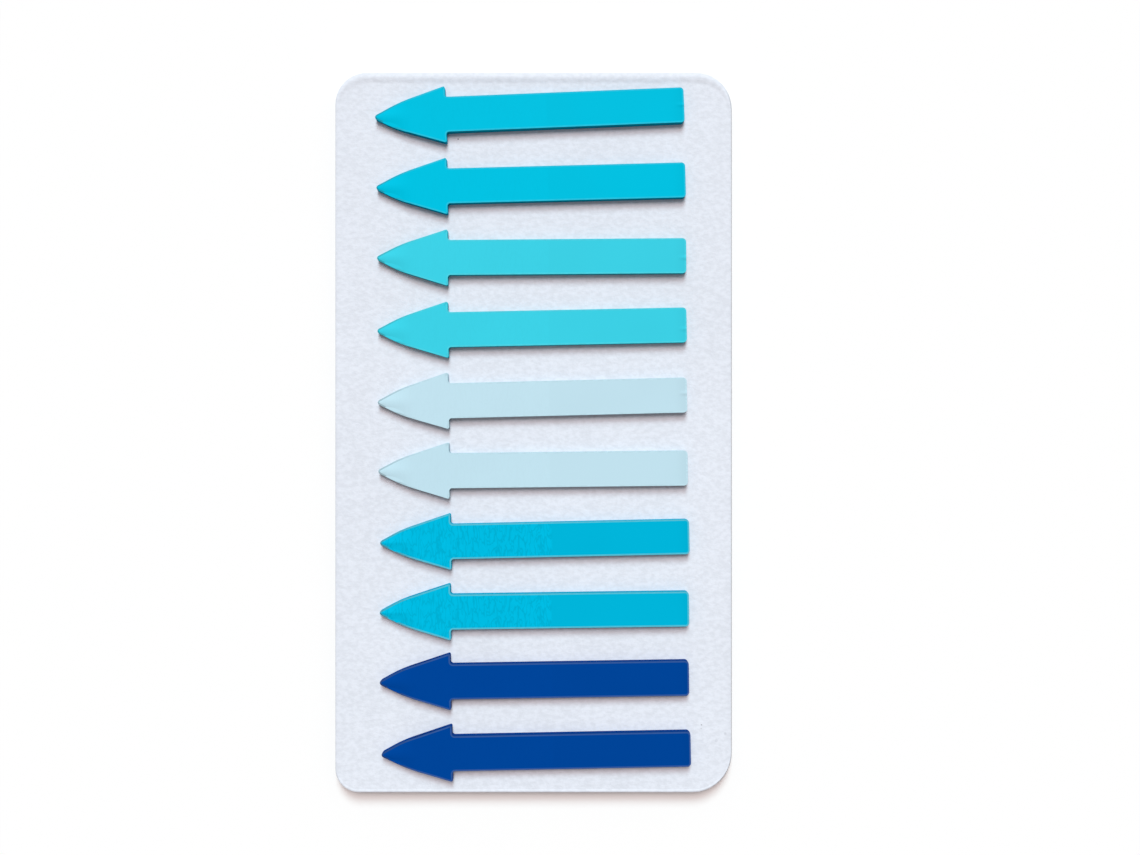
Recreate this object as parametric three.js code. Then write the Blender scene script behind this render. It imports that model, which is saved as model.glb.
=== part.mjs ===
// Sticky index tabs: ten pads of arrow-shaped film flags, laid by hand in a column on one backing card.
// Millimetres, +Z up. The origin is the middle of the card's underside. +Y runs along the card towards
// the first pad, and +X points from the pads' tips to their tails.
import * as THREE from "three";

// Backing card, 2 mm from its underside to the face that carries the pads
const cardWidth = 57.8;
const cardLength = 104.8;
const faceHeight = 2;

// Corners of the card, which the punch left unequal: far is +Y, left is -X
const farLeftRadius = 4.6;
const farRightRadius = 5.2;
const nearRightRadius = 5.7;
const nearLeftRadius = 3.4;

// Raised rim round the card, broadest along the far edge, and the roll of its outer edge
const rimHeight = 0.14;
const rimWidth = 0.45;
const farRimWidth = 1.65;
const edgeRoll = 0.12;

// One pad: a stack of film flags
const flagCount = 20;
const flagThickness = 0.06;
const padThickness = flagCount * flagThickness;
const padLength = 44.7;
const headLength = 10.2;
const headWidth = 8.2;
const shaftWidth = 5.05;
const tipRadius = 0.4;
const cheekRadius = 18;
const barbRadius = 0.2;
const neckRadius = 0.4;
const tailRadius = 0.55;

// Where the head's edges bend, as shares of its length behind the tip and of its half width
const cheekAlong = 0.3;
const cheekAcross = 0.45;

// Clear card between its ends and the heads of the first and last pads
const endMargin = 1.9;
const arcSteps = 8;

const cardFinish = { color: 0xe3e8f2, roughness: 0.75 };
const shades = {
  brightCyan: { color: 0x00c0e0, roughness: 0.35 },
  aqua: { color: 0x40d0e4, roughness: 0.35 },
  paleBlue: { color: 0xc0e1ed, roughness: 0.35 },
  cerulean: { color: 0x01b5d9, roughness: 0.35 },
  royalBlue: { color: 0x014598, roughness: 0.35 },
};

// How each pad lies, from the first at the far end: its turn in degrees and its slips off the even column
const laidPads = [
  { shade: "brightCyan", turn: 2.3, slipX: -0.55, slipY: 0.1 },
  { shade: "brightCyan", turn: 1.45, slipX: -0.35, slipY: -0.12 },
  { shade: "aqua", turn: 0.45, slipX: -0.25, slipY: -0.38 },
  { shade: "aqua", turn: 1.15, slipX: -0.2, slipY: -0.35 },
  { shade: "paleBlue", turn: 1.4, slipX: -0.15, slipY: -0.27 },
  { shade: "paleBlue", turn: 0.65, slipX: -0.05, slipY: -0.23 },
  { shade: "cerulean", turn: 1.2, slipX: 0.2, slipY: -0.05 },
  { shade: "cerulean", turn: 0.75, slipX: 0.15, slipY: -0.02 },
  { shade: "royalBlue", turn: 0.9, slipX: 0.15, slipY: 0.22 },
  { shade: "royalBlue", turn: 1.1, slipX: 0.4, slipY: 0.2 },
];

// A closed outline through sharp corners given anticlockwise, each rounded to its own radius
function roundedOutline(corners) {
  const outline = new THREE.Shape();
  corners.forEach((corner, i) => {
    const at = new THREE.Vector2(corner.x, corner.y);
    const before = corners.at(i - 1);
    const after = corners[(i + 1) % corners.length];
    const toBefore = new THREE.Vector2(before.x, before.y).sub(at).normalize();
    const toAfter = new THREE.Vector2(after.x, after.y).sub(at).normalize();
    const halfAngle = toBefore.angleTo(toAfter) / 2;
    const bisector = toBefore.clone().add(toAfter).normalize();
    const centre = at.clone().addScaledVector(bisector, corner.radius / Math.sin(halfAngle));
    const setback = corner.radius / Math.tan(halfAngle);
    const start = at.clone().addScaledVector(toBefore, setback).sub(centre);
    const end = at.clone().addScaledVector(toAfter, setback).sub(centre);
    const clockwise = toBefore.cross(toAfter) > 0;
    outline.absarc(centre.x, centre.y, corner.radius, start.angle(), end.angle(), clockwise);
  });
  outline.closePath();
  return outline;
}

// The card's outline drawn in from its edge, by one width on three sides and another on the far side
function cardOutline(inset, farInset) {
  const right = cardWidth / 2 - inset;
  const far = cardLength / 2 - farInset;
  const near = cardLength / 2 - inset;
  return roundedOutline([
    { x: -right, y: -near, radius: nearLeftRadius - inset },
    { x: right, y: -near, radius: nearRightRadius - inset },
    { x: right, y: far, radius: farRightRadius - inset },
    { x: -right, y: far, radius: farLeftRadius - inset },
  ]);
}

// A closed solid through outlines of equal point count, each at its own height, with flat ends
function loft(levels) {
  const rings = levels.map((level) => level.outline.extractPoints(arcSteps).shape.slice(0, -1));
  const count = rings[0].length;
  const positions = rings.flatMap((ring, k) => ring.flatMap((p) => [p.x, p.y, levels[k].height]));
  const faces = [];
  for (let k = 0; k + 1 < rings.length; k += 1) {
    for (let i = 0; i < count; i += 1) {
      const next = (i + 1) % count;
      const below = k * count;
      const above = below + count;
      faces.push(below + i, below + next, above + next);
      faces.push(below + i, above + next, above + i);
    }
  }
  const last = (rings.length - 1) * count;
  for (const [a, b, c] of THREE.ShapeUtils.triangulateShape(rings[0], [])) {
    faces.push(c, b, a);
  }
  for (const [a, b, c] of THREE.ShapeUtils.triangulateShape(rings.at(-1), [])) {
    faces.push(last + a, last + b, last + c);
  }
  const geometry = new THREE.BufferGeometry();
  geometry.setAttribute("position", new THREE.Float32BufferAttribute(positions, 3));
  geometry.setIndex(faces);
  geometry.computeVertexNormals();
  return geometry;
}

// The card: upright wall, rolled outer edge, crest of the rim, and the slope down to the flat face
function backingCard() {
  const crest = faceHeight + rimHeight;
  const section = [
    { share: 0, height: 0 },
    { share: 0, height: crest - edgeRoll },
    { share: 0.15, height: crest - edgeRoll / 4 },
    { share: 0.4, height: crest },
    { share: 0.7, height: faceHeight + rimHeight / 2 },
    { share: 1, height: faceHeight },
  ];
  return loft(
    section.map(({ share, height }) => ({
      outline: cardOutline(share * rimWidth, share * farRimWidth),
      height,
    })),
  );
}

// The arrow from above: the head's edges bend softly on their way from the tip to the barbs
function arrowOutline() {
  const tipX = -padLength / 2;
  const tailX = padLength / 2;
  const barbX = tipX + headLength;
  const barbY = headWidth / 2;
  const neckY = shaftWidth / 2;
  const cheekX = tipX + cheekAlong * headLength;
  const cheekY = cheekAcross * barbY;
  const fromTipCentre = new THREE.Vector2(cheekX - tipX - tipRadius, cheekY);
  const halfAngle = fromTipCentre.angle() - Math.asin(tipRadius / fromTipCentre.length());
  const apexX = tipX + tipRadius - tipRadius / Math.sin(halfAngle);
  return roundedOutline([
    { x: apexX, y: 0, radius: tipRadius },
    { x: cheekX, y: -cheekY, radius: cheekRadius },
    { x: barbX, y: -barbY, radius: barbRadius },
    { x: barbX, y: -neckY, radius: neckRadius },
    { x: tailX, y: -neckY, radius: tailRadius },
    { x: tailX, y: neckY, radius: tailRadius },
    { x: barbX, y: neckY, radius: neckRadius },
    { x: barbX, y: barbY, radius: barbRadius },
    { x: cheekX, y: cheekY, radius: cheekRadius },
  ]);
}

const object = new THREE.Group();

const card = new THREE.Mesh(backingCard(), new THREE.MeshStandardMaterial(cardFinish));
card.name = "backing_card";
object.add(card);

const padGeometry = new THREE.ExtrudeGeometry(arrowOutline(), {
  depth: padThickness,
  bevelEnabled: false,
  curveSegments: arcSteps,
});
const firstY = cardLength / 2 - endMargin - headWidth / 2;
const padPitch = (2 * firstY) / (laidPads.length - 1);
laidPads.forEach(({ shade, turn, slipX, slipY }, i) => {
  const pad = new THREE.Mesh(padGeometry, new THREE.MeshStandardMaterial(shades[shade]));
  const evenY = firstY - i * padPitch;
  pad.name = `arrow_pad_${String(i + 1).padStart(2, "0")}`;
  pad.position.set(slipX, evenY + slipY, faceHeight);
  pad.rotation.z = THREE.MathUtils.degToRad(turn);
  object.add(pad);
});

export default object;
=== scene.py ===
# Sticky index tabs: a backing card with ten pads of arrow-shaped film flags, in metres.
import math
import random

import bmesh
import bpy
from bpy.props import FloatProperty, FloatVectorProperty, IntProperty, PointerProperty
from mathutils import Matrix, Vector, noise


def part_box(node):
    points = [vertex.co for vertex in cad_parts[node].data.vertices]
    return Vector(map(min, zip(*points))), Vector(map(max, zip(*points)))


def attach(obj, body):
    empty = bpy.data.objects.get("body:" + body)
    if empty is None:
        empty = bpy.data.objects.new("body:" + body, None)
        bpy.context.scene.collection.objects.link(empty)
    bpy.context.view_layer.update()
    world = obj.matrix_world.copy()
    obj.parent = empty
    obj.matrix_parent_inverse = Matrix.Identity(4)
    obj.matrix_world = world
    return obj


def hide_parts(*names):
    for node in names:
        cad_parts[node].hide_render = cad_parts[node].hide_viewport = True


bl_info = {
    "name": "Sticky Index Tabs",
    "version": (1, 0, 0),
    "blender": (4, 5, 0),
    "location": "3D View > Sidebar > Index Tabs",
    "description": "Builds a card of arrow-shaped sticky index tabs on its packed frame",
    "category": "Object",
}

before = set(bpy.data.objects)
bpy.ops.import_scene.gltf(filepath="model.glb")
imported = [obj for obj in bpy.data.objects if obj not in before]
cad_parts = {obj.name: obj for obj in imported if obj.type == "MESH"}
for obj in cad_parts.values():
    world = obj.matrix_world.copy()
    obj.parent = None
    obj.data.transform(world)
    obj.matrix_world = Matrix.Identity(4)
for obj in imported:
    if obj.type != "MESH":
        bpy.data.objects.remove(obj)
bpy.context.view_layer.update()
CARD_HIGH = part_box("backing_card")[1]
PAD_LOW, PAD_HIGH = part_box("arrow_pad_01")

MM = 0.001
ROOT = "root"
CARD_NODE = "backing_card"

# Meshing: steps of each rounded corner, the angle from which an edge is shaded sharp, how near to
# a cut a point counts as on it, and how finely a top flag is cut, with more cuts under relief
ARC_STEPS = 10
SHARP_ANGLE = math.radians(35)
CUT_REACH = 1e-8
TOP_GRID = 0.6 * MM
RIPPLE_CUTS = 3
CREASE_CUTS = 4
CREASE_ZONE = 2 * MM

# The flags' own map, and the places of the cut edge and of the line round the top flag, which
# carries painted highlight and painted shade, in a pad's materials.
# A face belongs to the cut edge when its normal rises less than this
FLAG_MAP = "flag"
EDGE_INDEX = 1
RIM_INDEX = 2
EDGE_NORMAL = 0.5

# Relief of the top flags: how far a tail's crease runs in and how broad it is, the spacing of the
# ripples along and across a flag, how much closer the finer ones lie, and where they fade
CREASE_RUN = 1.3 * MM
CREASE_BREADTH = 0.25 * MM
RIPPLE_ALONG = 0.42 * MM
RIPPLE_ACROSS = 1.4 * MM
FINE_RIPPLE = 2.1
RIPPLE_FADE_IN = 3 * MM
RIPPLE_FADE_OUT = 0.6 * MM

# Noise about 0.5 mostly stays between these two
NOISE_LOW = 0.3
NOISE_HIGH = 0.7
# Share of the mirror light that the satin film keeps
FILM_GLOSS = 0.006
# Half the floor's breadth in metres, and the share of its light that it returns to the object
FLOOR_REACH = 2
FLOOR_RETURN = 0.12

# The shade of each pair of pads, from the far end of the card, and how far the painted highlight
# on the line round its top flags lifts that line towards a pale tint
SHADES = {
    "bright_cyan": 0.03,
    "aqua": 0.04,
    "pale_blue": 0.01,
    "cerulean": 0.13,
    "royal_blue": 0.05,
}
# Pale tint towards which the painted highlight lifts the line round a top flag
HIGHLIGHT_TINT = Vector((0.7, 0.85, 0.4))
PADS_PER_SHADE = 2
# Pads whose top flag lies badly stuck and rippled
RIPPLED_PADS = (7, 8)
# Creased tail ends: the pad's number, and where across the pad its crease runs
TAIL_CREASES = {1: 0.0, 3: -0.3 * MM, 4: -0.6 * MM, 5: 0.25 * MM}
# Small marks from use, on the top flags of one shade and on the card's face: the place of each on
# the card, its radius and its darkness, which is below nought for a light flake
MARKED_SHADE = "pale_blue"
FLAG_MARKS = (
    (-0.5 * MM, 7.6 * MM, 0.22 * MM, -0.2),
    (-0.1 * MM, 7.57 * MM, 0.13 * MM, 0.5),
    (-1.65 * MM, 7.4 * MM, 0.35 * MM, 0.1),
)
CARD_MARKS = (
    (-11.0 * MM, 42.75 * MM, 0.14 * MM, 0.6),
    (24.45 * MM, -42.6 * MM, 0.13 * MM, 0.45),
    (24.4 * MM, -43.15 * MM, 0.12 * MM, 0.25),
    (26.6 * MM, -44.9 * MM, 0.3 * MM, 0.12),
    (27.9 * MM, -43.9 * MM, 0.25 * MM, 0.12),
)


def length_property(name, description, default):
    """A size in metres that a user may change."""
    return FloatProperty(
        name=name, description=description, default=default, min=0, precision=5, unit="LENGTH"
    )


def share_property(name, description, default):
    """A plain number from nought up."""
    return FloatProperty(name=name, description=description, default=default, min=0, precision=3)


def angle_property(name, description, degrees):
    """An angle, given in degrees."""
    return FloatProperty(
        name=name, description=description, default=math.radians(degrees), subtype="ANGLE"
    )


def colour_property(name, description, default):
    """A colour in Blender's linear values."""
    return FloatVectorProperty(
        name=name, description=description, default=default, min=0, max=1, subtype="COLOR"
    )


class CardSettings(bpy.types.PropertyGroup):
    """Sizes and colour of the backing card."""

    rim_width: length_property("Rim width", "Width of the rim on three sides", 0.45 * MM)
    far_rim_width: length_property("Far rim width", "Width of the rim on the far side", 1.65 * MM)
    far_rim: length_property("Far rim", "Its rise above the face", 0.14 * MM)
    side_rim: length_property("Side rims", "Their rise above the face", 0.045 * MM)
    near_rim: length_property("Near rim", "Its rise above the face", 0.055 * MM)
    far_roll: length_property("Far roll", "Drop of the far rim's rolled edge", 0.12 * MM)
    left_roll: length_property("Left roll", "Drop of the left rim's rolled edge", 0.1 * MM)
    right_roll: length_property("Right roll", "Drop of the right rim's rolled edge", 0.45 * MM)
    near_roll: length_property("Near roll", "Drop of the near rim's rolled edge", 0.04 * MM)
    far_left: length_property("Far left radius", "Corner beyond the first pad's tip", 4.6 * MM)
    far_right: length_property("Far right radius", "Corner beyond the first pad's tail", 5.2 * MM)
    near_right: length_property("Near right radius", "Corner by the last pad's tail", 5.7 * MM)
    near_left: length_property("Near left radius", "Corner by the last pad's tip", 3.4 * MM)
    grain: length_property("Grain", "Size of the pressed grain", 0.55 * MM)
    colour: colour_property("Colour", "Coated board", (0.775, 0.815, 0.895))


class PadSettings(bpy.types.PropertyGroup):
    """Sizes and colours of the pads of flags."""

    flags: IntProperty(name="Flags", description="Flags in one pad", default=20, min=2)
    air: length_property("Air", "Loose room between two flags", 0.008 * MM)
    slip: length_property("Slip", "How far one flag lies off the next", 0.025 * MM)
    head_length: length_property("Head length", "From the tip to the barbs", 10.2 * MM)
    head_width: length_property("Head width", "Across the barbs", 8.2 * MM)
    shaft_width: length_property("Shaft width", "Across the shaft", 5.05 * MM)
    tip_radius: length_property("Tip radius", "Rounding of the tip", 0.4 * MM)
    cheek_radius: length_property("Cheek radius", "Soft bend of the head's edges", 18 * MM)
    cheek_along: share_property("Cheek along", "Place of the bend along the head", 0.3)
    cheek_across: share_property("Cheek across", "Place of the bend across half the head", 0.45)
    barb_radius: length_property("Barb radius", "Rounding of the barbs", 0.2 * MM)
    neck_radius: length_property("Neck radius", "Fillet from head to shaft", 0.4 * MM)
    tail_radius: length_property("Tail radius", "Rounding of the tail's corners", 0.55 * MM)
    # The band that this sets round the top flag carries the painted highlight and, at the tip,
    # painted shade
    cut_rim: length_property("Cut rim", "Width of the cut's line round the top flag", 0.22 * MM)
    crown_length: length_property("Crown length", "Creased stretch behind the tip", 5 * MM)
    crown_slope: share_property("Crown slope", "Fall of the tip to both sides of a crease", 0.25)
    tail_crease: length_property("Tail crease", "Height of the small crease at a tail", 0.08 * MM)
    ripple: length_property("Ripple height", "Height of a badly stuck flag's ripples", 0.035 * MM)
    stuck: share_property("Stuck share", "Share of a flag's length that carries glue", 0.555)
    bright_cyan: colour_property("Bright cyan", "First pair", (0.0, 0.53, 0.75))
    aqua: colour_property("Aqua", "Second pair", (0.045, 0.63, 0.78))
    pale_blue: colour_property("Pale blue", "Third pair", (0.53, 0.75, 0.85))
    cerulean: colour_property("Cerulean", "Fourth pair", (0.0, 0.46, 0.70))
    royal_blue: colour_property("Royal blue", "Last pair", (0.0, 0.058, 0.315))


class StageSettings(bpy.types.PropertyGroup):
    """Camera and light of the stage."""

    camera_x: FloatProperty(
        name="Camera X", description="Place across the card", default=5.29 * MM, unit="LENGTH"
    )
    camera_y: FloatProperty(
        name="Camera Y", description="Place along the card", default=0.73 * MM, unit="LENGTH"
    )
    camera_height: length_property("Camera height", "Above the floor", 149.2 * MM)
    lens: FloatProperty(name="Lens", description="Focal length in millimetres", default=31.9)
    high_share: share_property("High lamp share", "Share of the light from the high lamp", 0.45)
    high_elevation: angle_property("High lamp elevation", "Its height beyond the far edge", 65)
    high_size: angle_property("High lamp size", "Angle that the high lamp spans", 26)
    low_share: share_property("Low lamp share", "Share of the light from the low lamp", 0.29)
    low_elevation: angle_property("Low lamp elevation", "Its height beyond the far edge", 43)
    low_size: angle_property("Low lamp size", "Angle that the low lamp spans", 22)
    warmth: colour_property("Warmth", "Tint of all light but the low lamp's", (1.0, 0.88, 0.86))


def rounded_face(bm, corners):
    """One flat face through anticlockwise corners (x, y, radius), each rounded by a spun arc."""
    ends = []
    for i, (x, y, radius) in enumerate(corners):
        at = Vector((x, y, 0))
        back = (Vector((*corners[i - 1][:2], 0)) - at).normalized()
        ahead = (Vector((*corners[(i + 1) % len(corners)][:2], 0)) - at).normalized()
        half = back.angle(ahead) / 2
        centre = at + (back + ahead).normalized() * radius / math.sin(half)
        turn = math.copysign(math.pi - 2 * half, ahead.cross(back).z)
        start = bm.verts.new(at + back * radius / math.tan(half))
        spun = bmesh.ops.spin(
            bm, geom=[start], cent=centre, axis=(0, 0, 1), angle=turn, steps=ARC_STEPS
        )
        ends.append((start, spun["geom_last"][0]))
    for i, (start, last) in enumerate(ends):
        bm.edges.new((last, ends[(i + 1) % len(ends)][0]))
    bmesh.ops.contextual_create(bm, geom=bm.edges[:])
    face = bm.faces[:][0]
    face.normal_update()
    if face.normal.z < 0:
        face.normal_flip()
    return face


def everything(bm):
    """All of a bmesh, as bisecting takes it."""
    return bm.verts[:] + bm.edges[:] + bm.faces[:]


def cut_grid(bm, step):
    """Cuts a flat shape into squares of that step, for later relief."""
    for axis in range(2):
        places = [vert.co[axis] for vert in bm.verts]
        low, high = min(places), max(places)
        count = 2 * round((high - low) / step / 2)
        normal = Vector((0, 0, 0))
        normal[axis] = 1
        for i in range(1, count):
            point = normal * (low + (high - low) * i / count)
            bmesh.ops.bisect_plane(
                bm, geom=everything(bm), plane_co=point, plane_no=normal, dist=CUT_REACH
            )


def finish_piece(bm, name, node, materials):
    """Makes the bmesh a smooth-shaded piece that rides in place of its CAD node."""
    mesh = bpy.data.meshes.new(name)
    bm.to_mesh(mesh)
    bm.free()
    for material in materials:
        mesh.materials.append(material)
    mesh.shade_smooth()
    mesh.set_sharp_from_angle(angle=SHARP_ANGLE)
    piece = bpy.data.objects.new(name, mesh)
    bpy.context.collection.objects.link(piece)
    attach(piece, ROOT)
    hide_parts(node)


class Nodes:
    """Adds and links the nodes of one material."""

    def __init__(self, name):
        self.material = bpy.data.materials.new(name)
        self.material.use_nodes = True
        self.tree = self.material.node_tree
        self.shader = self.tree.nodes["Principled BSDF"]

    def add(self, kind, **settings):
        """A node of that kind: inputs by name take a value or another node's socket."""
        node = self.tree.nodes.new(kind)
        inputs = settings.pop("inputs", {})
        for key, value in settings.items():
            setattr(node, key, value)
        for key, value in inputs.items():
            self.give(node.inputs[key], value)
        return node

    def give(self, socket, value):
        """Sets a socket's value, or links another socket to it."""
        if isinstance(value, bpy.types.NodeSocket):
            self.tree.links.new(value, socket)
        else:
            socket.default_value = value

    def math(self, operation, *values):
        """The result of one sum."""
        node = self.add("ShaderNodeMath", operation=operation)
        for socket, value in zip(node.inputs, values):
            self.give(socket, value)
        return node.outputs[0]

    def ramp(self, value, low, high, to_low=0.0, to_high=1.0):
        """The value's smooth way from low to high."""
        node = self.add(
            "ShaderNodeMapRange",
            interpolation_type="SMOOTHSTEP",
            inputs={
                "Value": value, "From Min": low, "From Max": high,
                "To Min": to_low, "To Max": to_high,
            },
        )
        return node.outputs["Result"]

    def noise(self, vector, scale, detail=2.0, roughness=0.5, distortion=0.0):
        """Soft noise about 0.5 at that scale."""
        node = self.add(
            "ShaderNodeTexNoise",
            inputs={
                "Vector": vector, "Scale": scale, "Detail": detail, "Roughness": roughness,
                "Distortion": distortion,
            },
        )
        return node.outputs["Fac"]

    def spread(self, noise, to_low, to_high):
        """A noise spread smoothly from low to high."""
        return self.ramp(noise, NOISE_LOW, NOISE_HIGH, to_low, to_high)

    def stretched(self, vector, scale):
        """A vector scaled by its own share on each axis."""
        node = self.add("ShaderNodeMapping", inputs={"Vector": vector, "Scale": scale})
        return node.outputs["Vector"]

    def flag_place(self):
        """The place on a flag's own map, and its share of the way from the tip to the tail."""
        flag = self.add("ShaderNodeUVMap", uv_map=FLAG_MAP).outputs["UV"]
        along = self.add("ShaderNodeSeparateXYZ", inputs={"Vector": flag}).outputs["X"]
        return flag, along

    def marked(self, tone, place, marks, height):
        """The tone with small round marks, whose places are given on a face at that height."""
        for x, y, radius, darkness in marks:
            reach = self.add(
                "ShaderNodeVectorMath", operation="DISTANCE", inputs={0: place, 1: (x, y, height)}
            )
            mark = self.ramp(reach.outputs["Value"], radius / 2, radius, darkness, 0.0)
            tone = self.math("SUBTRACT", tone, mark)
        return tone

    def toned(self, colour, value):
        """The colour made lighter or darker by a factor."""
        node = self.add(
            "ShaderNodeHueSaturation", inputs={"Color": (*colour, 1), "Value": value}
        )
        return node.outputs["Color"]

    def coat(self, colour, roughness, gloss):
        """Gives the surface its colour, its roughness and its share of mirror light."""
        self.give(self.shader.inputs["Base Color"], colour)
        self.give(self.shader.inputs["Roughness"], roughness)
        self.give(self.shader.inputs["Specular IOR Level"], gloss)

    def bump(self, height, strength, distance):
        """Relief from a height."""
        node = self.add(
            "ShaderNodeBump",
            inputs={"Height": height, "Strength": strength, "Distance": distance},
        )
        self.tree.links.new(node.outputs["Normal"], self.shader.inputs["Normal"])


def card_material(settings):
    """Coated white board with a fine pressed grain, faint clouds and a few dark specks."""
    cloud_scale, cell_scale = 60, 140
    speck_core, speck_radius, speck_darkness, bare_cells = 0.02, 0.035, 0.35, 0.9
    pore_depth, relief, gloss = 0.35, 0.04 * MM, 0.25

    n = Nodes("coated_board")
    place = n.add("ShaderNodeTexCoord").outputs["Object"]
    wide = n.stretched(place, (0.7, 1, 1))
    grain = n.noise(wide, 1 / settings.grain, detail=3.0, roughness=0.55)
    pores = n.noise(place, 3 / settings.grain)
    clouds = n.noise(place, cloud_scale)
    cells = n.add("ShaderNodeTexVoronoi", inputs={"Vector": place, "Scale": cell_scale})
    chosen = n.add("ShaderNodeSeparateColor", inputs={"Color": cells.outputs["Color"]})
    near = n.ramp(cells.outputs["Distance"], speck_core, speck_radius, 1.0, 0.0)
    rare = n.math("GREATER_THAN", chosen.outputs[0], bare_cells)
    speck = n.math("MULTIPLY", near, rare)
    tone = n.math("ADD", n.spread(grain, -0.05, 0.05), n.spread(clouds, 0.985, 1.01))
    tone = n.math("SUBTRACT", tone, n.math("MULTIPLY", speck, speck_darkness))
    tone = n.marked(tone, place, CARD_MARKS, PAD_LOW.z)
    n.coat(n.toned(settings.colour, tone), n.spread(grain, 0.6, 0.75), gloss)
    height = n.math("ADD", grain, n.math("MULTIPLY", pores, pore_depth))
    n.bump(height, 1.0, relief)
    return n.material


def film_material(name, colour, stuck, rippled, marks):
    """The face of a flag: satin film, lighter where its glue holds it and with painted shade
    along its ripples there, darker at its end.
    """
    wave_scale, cloud_scale, grain_scale = 80, 90, 2500
    glue_edge, fold_breadth, tail_start, tail_darkness = 0.004, 0.08, 0.955, 0.05
    # Depth of the painted shade along the ripples, and how much lighter the glued part is
    ripple_shade_depth, lift = (0.12, 0.06) if rippled else (0.01, 0.02)

    n = Nodes(name)
    flag, along = n.flag_place()
    place = n.add("ShaderNodeTexCoord").outputs["Object"]
    glued = n.ramp(along, stuck - glue_edge, stuck + glue_edge, 1.0, 0.0)
    waves = n.noise(n.stretched(flag, (1, 0.3, 1)), wave_scale, detail=1.0, distortion=0.5)
    folds = n.math("ABSOLUTE", n.math("SUBTRACT", waves, 0.5))
    clouds = n.noise(place, cloud_scale)
    tone = n.spread(clouds, 0.99, 1.01)
    # Painted shade on the ripples' folds, with a little painted light between them, where the
    # glue holds
    painted_ripple_shade = n.ramp(folds, 0.0, fold_breadth, -ripple_shade_depth, ripple_shade_depth / 3)
    tone = n.math("ADD", tone, n.math("MULTIPLY", glued, painted_ripple_shade))
    tone = n.math("ADD", tone, n.math("MULTIPLY", glued, lift))
    tone = n.math("SUBTRACT", tone, n.ramp(along, tail_start, 1.0, 0.0, tail_darkness))
    tone = n.marked(tone, place, marks, PAD_HIGH.z)
    n.coat(n.toned(colour, tone), n.spread(clouds, 0.36, 0.42), FILM_GLOSS)
    n.bump(n.noise(place, grain_scale), 0.15, 0.01 * MM)
    return n.material


def painted_rim_material(name, colour):
    """A line round a top flag: painted highlight lifts it to a pale tint, painted shade darkens
    it at the tip.
    """
    streak_scale, tip_share, tip_shade_tone, roughness = 60, 0.14, 0.68, 0.5

    n = Nodes(name)
    flag, along = n.flag_place()
    streaks = n.noise(n.stretched(flag, (1, 3, 1)), streak_scale)
    # Painted shade: the line darkens towards the tip
    shading = n.ramp(along, 0.0, tip_share, tip_shade_tone, 1.0)
    tone = n.math("ADD", n.spread(streaks, -0.05, 0.05), shading)
    n.coat(n.toned(colour, tone), roughness, FILM_GLOSS)
    return n.material


def edge_material(name, colour):
    """The cut edges of the flags, darker than a face: partly the stack's own deeper colour,
    partly painted shade for its shaded walls.
    """
    streak_scale, gloss = 700, 0.02

    n = Nodes(name)
    place = n.add("ShaderNodeTexCoord").outputs["Object"]
    streaks = n.noise(n.stretched(place, (1, 1, 12)), streak_scale)
    # Darker than the face, partly as the stack's own colour and partly as painted shade
    tone = n.spread(streaks, 0.5, 0.62)
    n.coat(n.toned(colour, tone), n.spread(streaks, 0.5, 0.7), gloss)
    n.bump(streaks, 0.3, 0.01 * MM)
    return n.material


def rim_section():
    """Steps of the rim from its outer edge in: share of its width, and its drop below the crest
    as shares of the edge's roll and of the rim's own height."""
    roll_end, fall_start, steps, curve = 0.36, 0.42, 6, 1.4
    points = []
    for i in range(steps + 1):
        points.append((roll_end * i / steps, (1 - i / steps) ** curve, 0.0))
    for i in range(steps + 1):
        share = i / steps
        fall = (1 - math.cos(math.pi * share)) / 2
        points.append((fall_start + (1 - fall_start) * share, 0.0, fall))
    return points


def end_share(along, radius, inset):
    """How far round its corner a place on the card's outline lies, from the side to the end."""
    return max(0.0, min(1.0, (along - CARD_HIGH.y + radius) / (radius - inset)))


def build_card(settings):
    """The card: a rounded outline with a rolled rim, whose rise and roll differ by side."""
    bm = bmesh.new()
    side, far = CARD_HIGH.x, CARD_HIGH.y
    rounded_face(
        bm,
        [
            (-side, -far, settings.near_left),
            (side, -far, settings.near_right),
            (side, far, settings.far_right),
            (-side, far, settings.far_left),
        ],
    )
    made = bmesh.ops.extrude_face_region(bm, geom=bm.faces[:])["geom"]
    top = next(g for g in made if isinstance(g, bmesh.types.BMFace))
    wider = settings.far_rim_width - settings.rim_width
    far_end = (settings.far_left, settings.far_right, settings.far_rim, settings.far_roll, wider)
    near_end = (settings.near_left, settings.near_right, settings.near_rim, settings.near_roll, 0)
    last_share = 0.0
    for share, roll, fall in rim_section():
        width = (share - last_share) * settings.rim_width
        if width > 0:
            bmesh.ops.inset_region(bm, faces=[top], thickness=width, use_even_offset=True)
        for vert in top.verts:
            left, right, rim, end_roll, extra = far_end if vert.co.y > 0 else near_end
            radius = right if vert.co.x > 0 else left
            side_roll = settings.right_roll if vert.co.x > 0 else settings.left_roll
            along = abs(vert.co.y) + last_share * extra
            end = end_share(along, radius, share * settings.rim_width)
            crest = settings.side_rim + (rim - settings.side_rim) * end
            drop = side_roll + (end_roll - side_roll) * end
            vert.co.z = PAD_LOW.z + crest * (1 - fall) - drop * roll
            vert.co.y -= (share - last_share) * extra
        last_share = share
    bmesh.ops.recalc_face_normals(bm, faces=bm.faces[:])
    return bm


class INDEXTABS_OT_card(bpy.types.Operator):
    """Build the backing card with its raised rim"""

    bl_idname = "index_tabs.card"
    bl_label = "Backing Card"

    def execute(self, context):
        settings = context.scene.index_tabs_card
        finish_piece(
            build_card(settings), "card_sheet", CARD_NODE, [card_material(settings)]
        )
        return {"FINISHED"}


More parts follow.
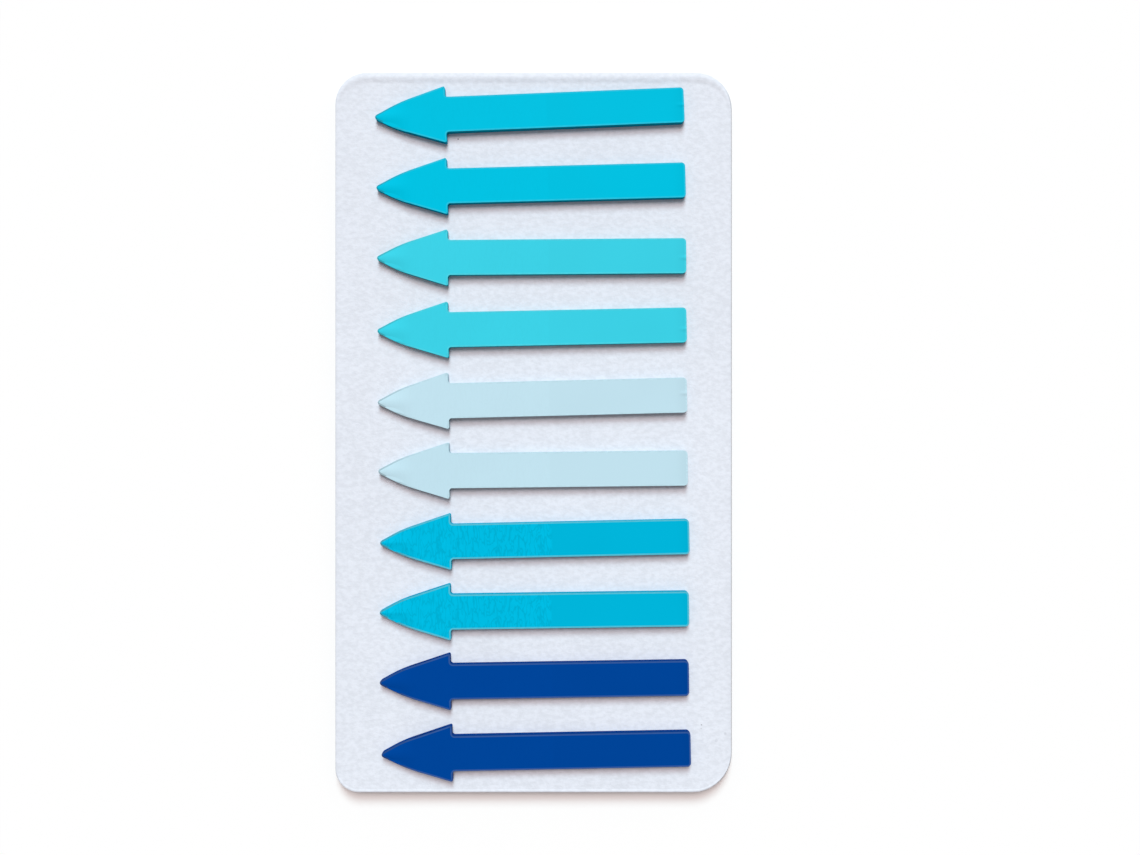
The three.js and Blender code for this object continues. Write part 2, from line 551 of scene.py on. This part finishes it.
def pad_place(node):
    """A pad's middle, turn and length, from its CAD node, which is even about its axis."""
    digits = 6
    corners = sorted({(round(v.co.x, digits), round(v.co.y, digits)) for v in node.data.vertices})
    points = [Vector(corner) for corner in corners]
    middle = sum(points, Vector((0, 0))) / len(points)
    xx = sum((p.x - middle.x) ** 2 for p in points)
    yy = sum((p.y - middle.y) ** 2 for p in points)
    xy = sum((p.x - middle.x) * (p.y - middle.y) for p in points)
    turn = math.atan2(2 * xy, xx - yy) / 2
    along = Vector((math.cos(turn), math.sin(turn)))
    reach = [(p - middle).dot(along) for p in points]
    centre = middle + along * (min(reach) + max(reach)) / 2
    return centre, turn, max(reach) - min(reach)


def arrow_corners(settings, length):
    """Sharp corners of the arrow with their radii: its tip towards -X, its middle at nought."""
    tip, tail = -length / 2, length / 2
    barb_x = tip + settings.head_length
    barb, neck = settings.head_width / 2, settings.shaft_width / 2
    cheek_x = tip + settings.cheek_along * settings.head_length
    cheek = settings.cheek_across * barb
    to_cheek = Vector((cheek_x - tip - settings.tip_radius, cheek))
    half_angle = math.atan2(*to_cheek.yx) - math.asin(settings.tip_radius / to_cheek.length)
    apex = tip + settings.tip_radius - settings.tip_radius / math.sin(half_angle)
    return [
        (apex, 0, settings.tip_radius),
        (cheek_x, -cheek, settings.cheek_radius),
        (barb_x, -barb, settings.barb_radius),
        (barb_x, -neck, settings.neck_radius),
        (tail, -neck, settings.tail_radius),
        (tail, neck, settings.tail_radius),
        (barb_x, neck, settings.neck_radius),
        (barb_x, barb, settings.barb_radius),
        (cheek_x, cheek, settings.cheek_radius),
    ]


def crown(co, settings, length):
    """How far a pad's top falls away at a place near the tip, to both sides of its crease."""
    share = max(0.0, 1 - (co.x + length / 2) / settings.crown_length)
    return settings.crown_slope * share * abs(co.y)


def tail_rise(co, settings, length, spot):
    """How far a creased tail stands up at a place: a short ridge that runs in from the end."""
    share = max(0.0, 1 - (length / 2 - co.x) / CREASE_RUN)
    return settings.tail_crease * share * math.exp(-(((co.y - spot) / CREASE_BREADTH) ** 2))


def ripple(co, settings, length, seed):
    """How far a badly stuck top flag stands up at a place, in ripples that run across it."""
    along = co.x + length / 2
    end = settings.stuck * length
    if along > end:
        return 0.0
    fade = min(1.0, along / RIPPLE_FADE_IN, (end - along) / RIPPLE_FADE_OUT)
    spot = Vector((co.x / RIPPLE_ALONG, co.y / RIPPLE_ACROSS, seed))
    rise = noise.noise(spot) + 0.5 * noise.noise(spot * FINE_RIPPLE)
    return settings.ripple * fade * max(0.0, min(1.0, 0.5 + rise))


def add_prism(bm, height):
    """Gives a flat face or grid its thickness upwards."""
    made = bmesh.ops.extrude_face_region(bm, geom=bm.faces[:])["geom"]
    verts = [g for g in made if isinstance(g, bmesh.types.BMVert)]
    bmesh.ops.translate(bm, verts=verts, vec=(0, 0, height))


def build_pad(settings, number, node):
    """One pad: its lower flags as a slightly slipped stack, and a top flag with relief."""
    centre, turn, length = pad_place(node)
    low, high = PAD_LOW.z, PAD_HIGH.z
    rise = (high - low) / settings.flags
    film = rise - settings.air
    chance = random.Random(number)
    corners = arrow_corners(settings, length)

    bm = bmesh.new()
    rounded_face(bm, corners)
    add_prism(bm, film)
    first = everything(bm)
    for i in range(1, settings.flags - 1):
        copied = bmesh.ops.duplicate(bm, geom=first)["geom"]
        verts = [g for g in copied if isinstance(g, bmesh.types.BMVert)]
        slip = (chance.uniform(-1, 1) * settings.slip, chance.uniform(-1, 1) * settings.slip)
        bmesh.ops.translate(bm, verts=verts, vec=(*slip, i * rise))

    top = bmesh.new()
    outline = rounded_face(top, corners)
    ring = bmesh.ops.inset_region(
        top, faces=[outline], thickness=settings.cut_rim, use_boundary=True, use_even_offset=True
    )
    for face in ring["faces"]:
        face.material_index = RIM_INDEX
    cut_grid(top, TOP_GRID)
    if number in RIPPLED_PADS:
        edges = top.edges[:]
        bmesh.ops.subdivide_edges(top, edges=edges, cuts=RIPPLE_CUTS, use_grid_fill=True)
    if number in TAIL_CREASES:
        start = length / 2 - CREASE_ZONE
        tail = [edge for edge in top.edges if min(vert.co.x for vert in edge.verts) > start]
        bmesh.ops.subdivide_edges(top, edges=tail, cuts=CREASE_CUTS, use_grid_fill=True)
    add_prism(top, film)
    for vert in top.verts:
        if number in RIPPLED_PADS:
            vert.co.z += ripple(vert.co, settings, length, number)
        if number in TAIL_CREASES:
            vert.co.z += tail_rise(vert.co, settings, length, TAIL_CREASES[number])
        vert.co.z += (settings.flags - 1) * rise
    holder = bpy.data.meshes.new("top_flag")
    top.to_mesh(holder)
    top.free()
    bm.from_mesh(holder)
    bpy.data.meshes.remove(holder)

    flag_map = bm.loops.layers.uv.new(FLAG_MAP)
    for face in bm.faces:
        face.normal_update()
        if abs(face.normal.z) < EDGE_NORMAL:
            face.material_index = EDGE_INDEX
        for loop in face.loops:
            co = loop.vert.co
            loop[flag_map].uv = (co.x / length + 0.5, co.y / length + 0.5)
    for vert in bm.verts:
        share = vert.co.z / (high - low)
        vert.co.z += low - crown(vert.co, settings, length) * share
    place = Matrix.Translation((*centre, 0)) @ Matrix.Rotation(turn, 4, "Z")
    bmesh.ops.transform(bm, matrix=place, verts=bm.verts[:])
    bmesh.ops.recalc_face_normals(bm, faces=bm.faces[:])
    return bm


class INDEXTABS_OT_pads(bpy.types.Operator):
    """Build the ten pads of arrow-shaped film flags"""

    bl_idname = "index_tabs.pads"
    bl_label = "Arrow Pads"

    def execute(self, context):
        settings = context.scene.index_tabs_pads
        for pair, (shade, highlight_share) in enumerate(SHADES.items()):
            first = pair * PADS_PER_SHADE + 1
            numbers = range(first, first + PADS_PER_SHADE)
            colour = getattr(settings, shade)
            edge = edge_material("edge_" + shade, colour)
            # Painted highlight: the line round the top flags is the pad's colour lifted towards a
            # pale tint
            rim = painted_rim_material("rim_" + shade, Vector(colour).lerp(HIGHLIGHT_TINT, highlight_share))
            rippled = any(number in RIPPLED_PADS for number in numbers)
            marks = FLAG_MARKS if shade == MARKED_SHADE else ()
            film = film_material("film_" + shade, colour, settings.stuck, rippled, marks)
            materials = [film, edge, rim]
            for number in numbers:
                node = f"arrow_pad_{number:02d}"
                bm = build_pad(settings, number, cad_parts[node])
                finish_piece(bm, f"flag_pad_{number:02d}", node, materials)
        return {"FINISHED"}


def build_floor():
    """A white floor that keeps the card's shadow."""
    bm = bmesh.new()
    bmesh.ops.create_grid(bm, x_segments=1, y_segments=1, size=FLOOR_REACH)
    mesh = bpy.data.meshes.new("floor")
    bm.to_mesh(mesh)
    bm.free()
    floor = bpy.data.objects.new("floor", mesh)
    bpy.context.collection.objects.link(floor)
    n = Nodes("white_floor")
    seen = n.add("ShaderNodeLightPath").outputs["Is Camera Ray"]
    n.coat(n.ramp(seen, 0.0, 1.0, FLOOR_RETURN, 1.0), 1.0, 0.0)
    mesh.materials.append(n.material)


def add_lamp(name, share, colour, elevation, size):
    """A soft lamp beyond the far edge, which gives a level white face that share of its light."""
    lamp = bpy.data.lights.new(name, "SUN")
    lamp.angle = size
    lamp.energy = share * math.pi / math.sin(elevation)
    lamp.color = colour
    sun = bpy.data.objects.new(name, lamp)
    sun.rotation_euler = (elevation - math.pi / 2, 0, 0)
    bpy.context.scene.collection.objects.link(sun)


class INDEXTABS_OT_stage(bpy.types.Operator):
    """Set up the floor, two soft lamps, the light all round and the camera overhead"""

    bl_idname = "index_tabs.stage"
    bl_label = "Stage"

    def execute(self, context):
        scene = context.scene
        settings = scene.index_tabs_stage
        build_floor()

        warm, low_share = settings.warmth, settings.low_share
        cool = [(1 - (1 - low_share) * tint) / low_share for tint in warm]
        add_lamp(
            "high_lamp", settings.high_share, warm, settings.high_elevation, settings.high_size
        )
        add_lamp("low_lamp", low_share, cool, settings.low_elevation, settings.low_size)

        world = bpy.data.worlds.new("studio")
        world.use_nodes = True
        rest = 1 - settings.high_share - low_share
        path = world.node_tree.nodes.new("ShaderNodeLightPath")
        seen = world.node_tree.nodes.new("ShaderNodeMix")
        seen.data_type = "RGBA"
        seen.inputs["A"].default_value = (*(rest * tint for tint in warm), 1)
        seen.inputs["B"].default_value = (1, 1, 1, 1)
        sky = world.node_tree.nodes["Background"]
        world.node_tree.links.new(path.outputs["Is Camera Ray"], seen.inputs["Factor"])
        world.node_tree.links.new(seen.outputs["Result"], sky.inputs["Color"])
        scene.world = world

        lens = bpy.data.cameras.new("overhead_camera")
        lens.lens = settings.lens
        lens.clip_start = 5 * MM
        camera = bpy.data.objects.new("overhead_camera", lens)
        camera.location = (settings.camera_x, settings.camera_y, settings.camera_height)
        scene.collection.objects.link(camera)
        scene.camera = camera
        scene.view_settings.view_transform = "Standard"
        return {"FINISHED"}


class INDEXTABS_PT_sidebar(bpy.types.Panel):
    """The steps and sizes of the index tabs"""

    bl_idname = "INDEXTABS_PT_sidebar"
    bl_label = "Index Tabs"
    bl_space_type = "VIEW_3D"
    bl_region_type = "UI"
    bl_category = "Index Tabs"

    def draw(self, context):
        layout = self.layout
        for step in STEPS:
            layout.operator(step.bl_idname)
        for group in (
            context.scene.index_tabs_card,
            context.scene.index_tabs_pads,
            context.scene.index_tabs_stage,
        ):
            for name in group.bl_rna.properties.keys():
                if name not in ("rna_type", "name"):
                    layout.prop(group, name)


STEPS = (INDEXTABS_OT_card, INDEXTABS_OT_pads, INDEXTABS_OT_stage)
CLASSES = (CardSettings, PadSettings, StageSettings, *STEPS, INDEXTABS_PT_sidebar)


def register():
    """Makes the classes and the scene's settings known."""
    for cls in CLASSES:
        bpy.utils.register_class(cls)
    bpy.types.Scene.index_tabs_card = PointerProperty(type=CardSettings)
    bpy.types.Scene.index_tabs_pads = PointerProperty(type=PadSettings)
    bpy.types.Scene.index_tabs_stage = PointerProperty(type=StageSettings)


def unregister():
    """Takes the classes and the settings away again."""
    del bpy.types.Scene.index_tabs_card
    del bpy.types.Scene.index_tabs_pads
    del bpy.types.Scene.index_tabs_stage
    for cls in reversed(CLASSES):
        bpy.utils.unregister_class(cls)


def main():
    """Builds every piece and the stage."""
    register()
    bpy.ops.index_tabs.card()
    bpy.ops.index_tabs.pads()
    bpy.ops.index_tabs.stage()


if __name__ == "__main__":
    main()
